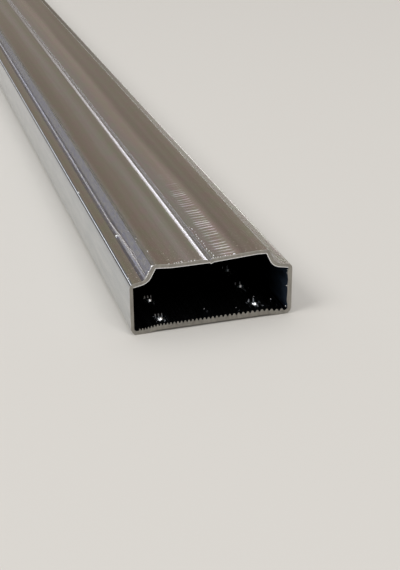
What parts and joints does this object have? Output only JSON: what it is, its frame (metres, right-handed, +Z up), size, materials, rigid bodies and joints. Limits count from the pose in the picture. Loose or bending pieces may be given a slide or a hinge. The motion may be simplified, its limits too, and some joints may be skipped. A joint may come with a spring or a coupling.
{
  "type": "aluminium spacer bar profile",
  "caption": "Straight hollow aluminium profile with coved shoulders, a seamed back, a finely ribbed floor and rows of breathing holes, for holding the panes of a double glazed unit apart.",
  "frame": {"origin": "middle of the bar, on the floor that it lies on", "axes": "+Y along the bar, away from the mouth that the picture shows; +X across it; +Z up, out of the seamed back"},
  "size_m": [0.0144, 0.5, 0.0064],
  "materials": {
    "aluminium": "mill rolled, bright sides, satin back and cut ends"
  },
  "bodies": {
    "root": {"spacer_bar": "aluminium"}
  },
  "joints": []
}
